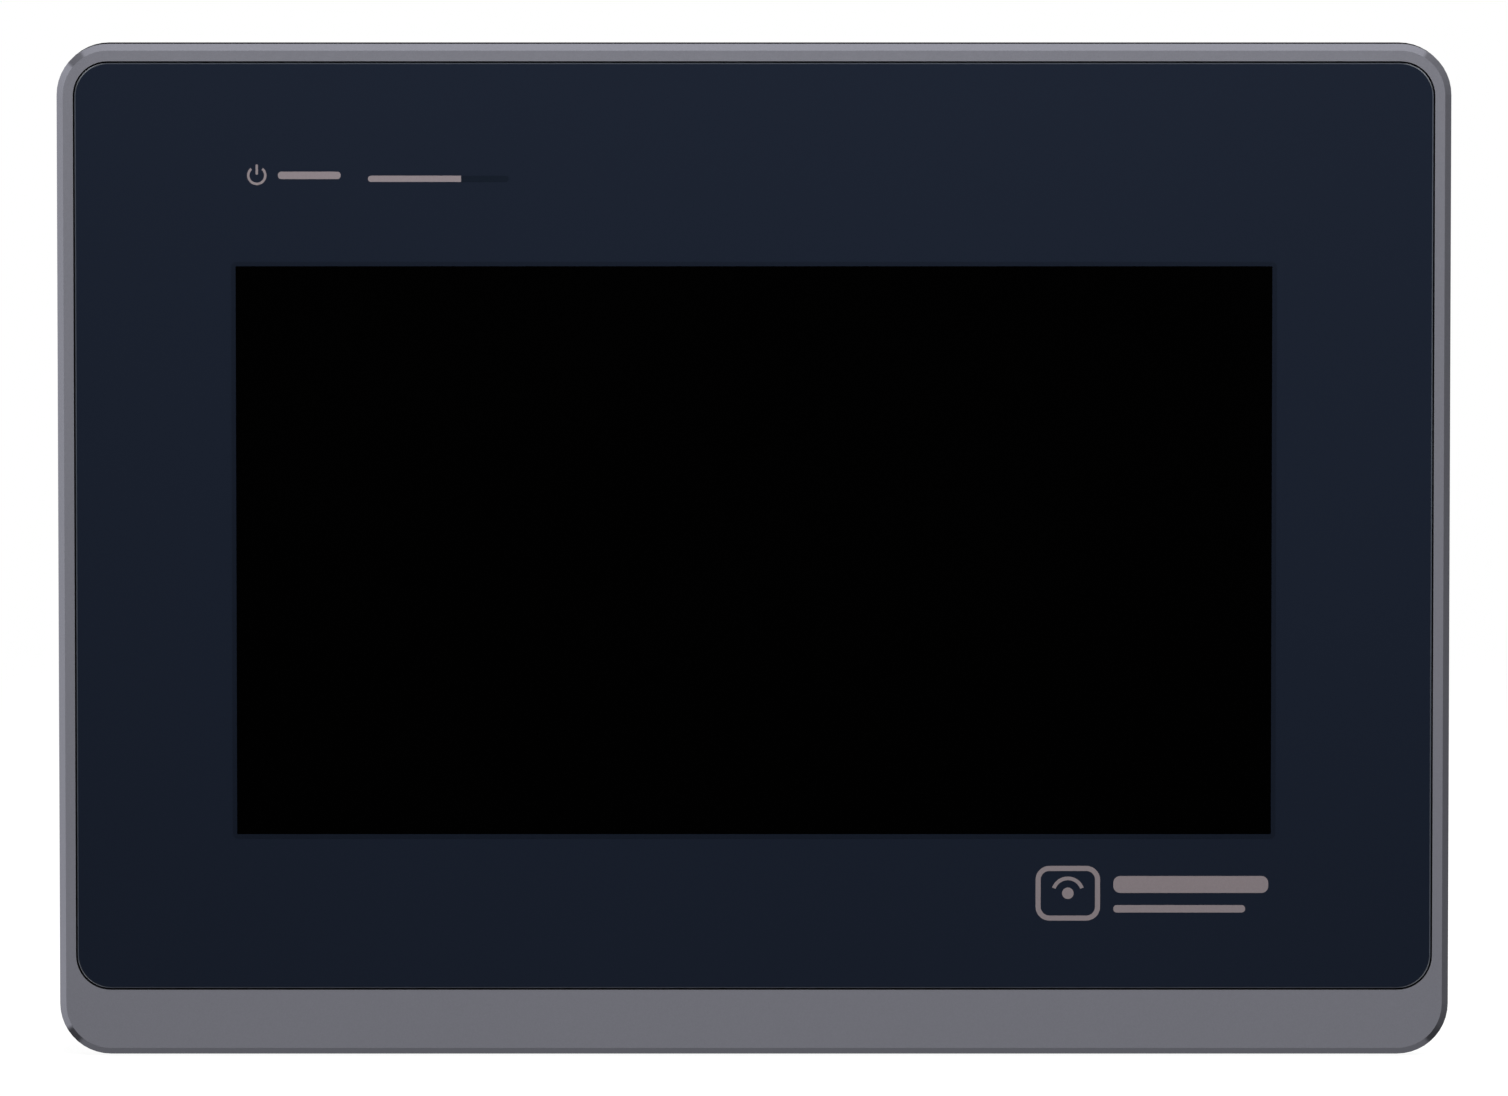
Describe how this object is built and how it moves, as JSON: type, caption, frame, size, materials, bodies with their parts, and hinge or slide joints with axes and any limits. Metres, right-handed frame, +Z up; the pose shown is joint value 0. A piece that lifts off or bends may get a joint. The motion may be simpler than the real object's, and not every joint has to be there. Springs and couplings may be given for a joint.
{
  "type": "operator touch panel",
  "caption": "Flush-mount operator touch panel: chamfered grey bezel, dark touch screen with a display window, rear electronics housing, sealing gasket, screw clamps and a pull-off power plug.",
  "frame": {"origin": "centre of the cabinet cut-out, on the plane where the bezel's rear rim seats against the panel", "axes": "+X to the operator's right, +Y into the cabinet (the screen faces -Y), +Z up"},
  "size_m": [0.2046, 0.042, 0.149],
  "materials": {
    "bezel_paint": "satin grey metallic paint",
    "overlay": "fine anti-glare navy film with a black display window",
    "clear_film": "clear film",
    "touch_glass": "clear float glass",
    "adhesive": "black foam tape",
    "flex_circuit": "amber polyimide flat cable",
    "gasket_rubber": "matt black elastomer",
    "foam": "black closed-cell foam",
    "thin_sheet": "bright zinc-plated sheet",
    "display_cell": "dark display cell",
    "white_resin": "white moulding",
    "light_pipe": "translucent moulding",
    "plated_screw": "zinc-plated steel",
    "standoff_brass": "nickel-free brass hex stock",
    "circuit_board": "green solder mask",
    "chip_epoxy": "black epoxy packages",
    "thermal_pad": "soft grey gap filler",
    "heat_sink": "black anodised extrusion",
    "power_parts": "ferrite and sleeved capacitors",
    "buzzer_resin": "black moulding",
    "cell_steel": "stainless cell can",
    "connector_resin": "black glass-filled moulding",
    "latch_resin": "dark brown moulding",
    "contact_gold": "gold-plated contacts",
    "plated_shell": "nickel-plated sheet shell",
    "tinned_copper": "tin-plated copper alloy",
    "plug_resin": "green moulding",
    "header_resin": "green moulding",
    "housing_resin": "fine spark-textured dark grey moulding",
    "rating_label": "blank silver polyester label",
    "clamp_zinc": "die-cast, dull plated",
    "clamp_pad": "black pressure pad"
  },
  "bodies": {
    "panel": {"front_bezel": "bezel_paint", "overlay_sheet": "overlay", "touch_film": "clear_film", "touch_glass": "touch_glass", "touch_adhesive": "adhesive", "touch_tail": "flex_circuit", "installation_gasket": "gasket_rubber", "lcd_foam": "foam", "lcd_frame": "thin_sheet", "lcd_glass": "display_cell", "backlight_tray": "white_resin", "lcd_ribbon": "flex_circuit", "display_bracket": "thin_sheet", "board_standoffs": "standoff_brass", "chassis_screws": "plated_screw", "status_light_pipe": "light_pipe", "status_led": "white_resin", "main_board": "circuit_board", "chips": "chip_epoxy", "thermal_pad": "thermal_pad", "heat_sink": "heat_sink", "power_components": "power_parts", "buzzer": "buzzer_resin", "backup_cell": "cell_steel", "ribbon_connectors": "connector_resin", "rj45_contacts": "contact_gold", "rj45_inserts": "connector_resin", "rj45_shells": "plated_shell", "dsub_pins": "contact_gold", "dsub_insulator": "connector_resin", "dsub_shell": "plated_shell", "dsub_jackscrews": "plated_screw", "usb_shells": "plated_shell", "usb_tongues": "connector_resin", "power_pins": "tinned_copper", "power_header": "header_resin", "rear_housing": "housing_resin", "rating_label": "rating_label", "housing_screws": "plated_screw"},
    "ribbon_latch_body": {"ribbon_latch": "latch_resin"},
    "plug": {"power_plug": "plug_resin", "plug_contacts": "tinned_copper"},
    "cage_1": {"terminal_cage_1": "tinned_copper"},
    "terminal_1": {"terminal_screw_1": "plated_screw"},
    "cage_2": {"terminal_cage_2": "tinned_copper"},
    "terminal_2": {"terminal_screw_2": "plated_screw"},
    "cage_3": {"terminal_cage_3": "tinned_copper"},
    "terminal_3": {"terminal_screw_3": "plated_screw"},
    "bracket_top_left": {"clamp_bracket_top_left": "clamp_zinc"},
    "foot_top_left": {"clamp_foot_top_left": "clamp_pad"},
    "screw_top_left": {"clamp_screw_top_left": "plated_screw"},
    "bracket_top_right": {"clamp_bracket_top_right": "clamp_zinc"},
    "foot_top_right": {"clamp_foot_top_right": "clamp_pad"},
    "screw_top_right": {"clamp_screw_top_right": "plated_screw"},
    "bracket_bottom_left": {"clamp_bracket_bottom_left": "clamp_zinc"},
    "foot_bottom_left": {"clamp_foot_bottom_left": "clamp_pad"},
    "screw_bottom_left": {"clamp_screw_bottom_left": "plated_screw"},
    "bracket_bottom_right": {"clamp_bracket_bottom_right": "clamp_zinc"},
    "foot_bottom_right": {"clamp_foot_bottom_right": "clamp_pad"},
    "screw_bottom_right": {"clamp_screw_bottom_right": "plated_screw"}
  },
  "joints": [
    {"name": "ribbon_latch_hinge", "type": "hinge", "parent": "panel", "child": "ribbon_latch_body", "pos_m": [0.046, 0.01585, 0.0186], "axis": [1, 0, 0], "range_deg": [0, 90]},
    {"name": "power_plug_pull", "type": "slide", "parent": "panel", "child": "plug", "axis": [0, 0, -1], "range_m": [0, 0.014]},
    {"name": "terminal_turn_1", "type": "hinge", "parent": "plug", "child": "terminal_1", "pos_m": [-0.06708, 0.0225, -0.066], "axis": [0, -1, 0], "range_deg": [0, 1440.01]},
    {"name": "cage_rise_1", "type": "slide", "parent": "plug", "child": "cage_1", "axis": [0, 1, 0], "range_m": [0, 0.002]},
    {"name": "terminal_turn_2", "type": "hinge", "parent": "plug", "child": "terminal_2", "pos_m": [-0.062, 0.0225, -0.066], "axis": [0, -1, 0], "range_deg": [0, 1440.01]},
    {"name": "cage_rise_2", "type": "slide", "parent": "plug", "child": "cage_2", "axis": [0, 1, 0], "range_m": [0, 0.002]},
    {"name": "terminal_turn_3", "type": "hinge", "parent": "plug", "child": "terminal_3", "pos_m": [-0.05692, 0.0225, -0.066], "axis": [0, -1, 0], "range_deg": [0, 1440.01]},
    {"name": "cage_rise_3", "type": "slide", "parent": "plug", "child": "cage_3", "axis": [0, 1, 0], "range_m": [0, 0.002]},
    {"name": "clamp_release_top_left", "type": "slide", "parent": "panel", "child": "bracket_top_left", "axis": [0, -1, 0], "range_m": [0, 0.0015]},
    {"name": "clamp_feed_top_left", "type": "slide", "parent": "bracket_top_left", "child": "foot_top_left", "axis": [0, -1, 0], "range_m": [0, 0.0056]},
    {"name": "clamp_turn_top_left", "type": "hinge", "parent": "foot_top_left", "child": "screw_top_left", "pos_m": [-0.08, 0.02, 0.07], "axis": [0, -1, 0], "range_deg": [0, 2880.01]},
    {"name": "clamp_release_top_right", "type": "slide", "parent": "panel", "child": "bracket_top_right", "axis": [0, -1, 0], "range_m": [0, 0.0015]},
    {"name": "clamp_feed_top_right", "type": "slide", "parent": "bracket_top_right", "child": "foot_top_right", "axis": [0, -1, 0], "range_m": [0, 0.0056]},
    {"name": "clamp_turn_top_right", "type": "hinge", "parent": "foot_top_right", "child": "screw_top_right", "pos_m": [0.08, 0.02, 0.07], "axis": [0, -1, 0], "range_deg": [0, 2880.01]},
    {"name": "clamp_release_bottom_left", "type": "slide", "parent": "panel", "child": "bracket_bottom_left", "axis": [0, -1, 0], "range_m": [0, 0.0015]},
    {"name": "clamp_feed_bottom_left", "type": "slide", "parent": "bracket_bottom_left", "child": "foot_bottom_left", "axis": [0, -1, 0], "range_m": [0, 0.0056]},
    {"name": "clamp_turn_bottom_left", "type": "hinge", "parent": "foot_bottom_left", "child": "screw_bottom_left", "pos_m": [-0.08, 0.02, -0.07], "axis": [0, -1, 0], "range_deg": [0, 2880.01]},
    {"name": "clamp_release_bottom_right", "type": "slide", "parent": "panel", "child": "bracket_bottom_right", "axis": [0, -1, 0], "range_m": [0, 0.0015]},
    {"name": "clamp_feed_bottom_right", "type": "slide", "parent": "bracket_bottom_right", "child": "foot_bottom_right", "axis": [0, -1, 0], "range_m": [0, 0.0056]},
    {"name": "clamp_turn_bottom_right", "type": "hinge", "parent": "foot_bottom_right", "child": "screw_bottom_right", "pos_m": [0.08, 0.02, -0.07], "axis": [0, -1, 0], "range_deg": [0, 2880.01]}
  ],
  "couplings": [
    {"joint": "terminal_turn_1", "follows": "cage_rise_1", "rad_per_m": 12566},
    {"joint": "terminal_turn_2", "follows": "cage_rise_2", "rad_per_m": 12566},
    {"joint": "terminal_turn_3", "follows": "cage_rise_3", "rad_per_m": 12566},
    {"joint": "clamp_turn_top_left", "follows": "clamp_feed_top_left", "rad_per_m": 8976},
    {"joint": "clamp_turn_top_right", "follows": "clamp_feed_top_right", "rad_per_m": 8976},
    {"joint": "clamp_turn_bottom_left", "follows": "clamp_feed_bottom_left", "rad_per_m": 8976},
    {"joint": "clamp_turn_bottom_right", "follows": "clamp_feed_bottom_right", "rad_per_m": 8976}
  ]
}
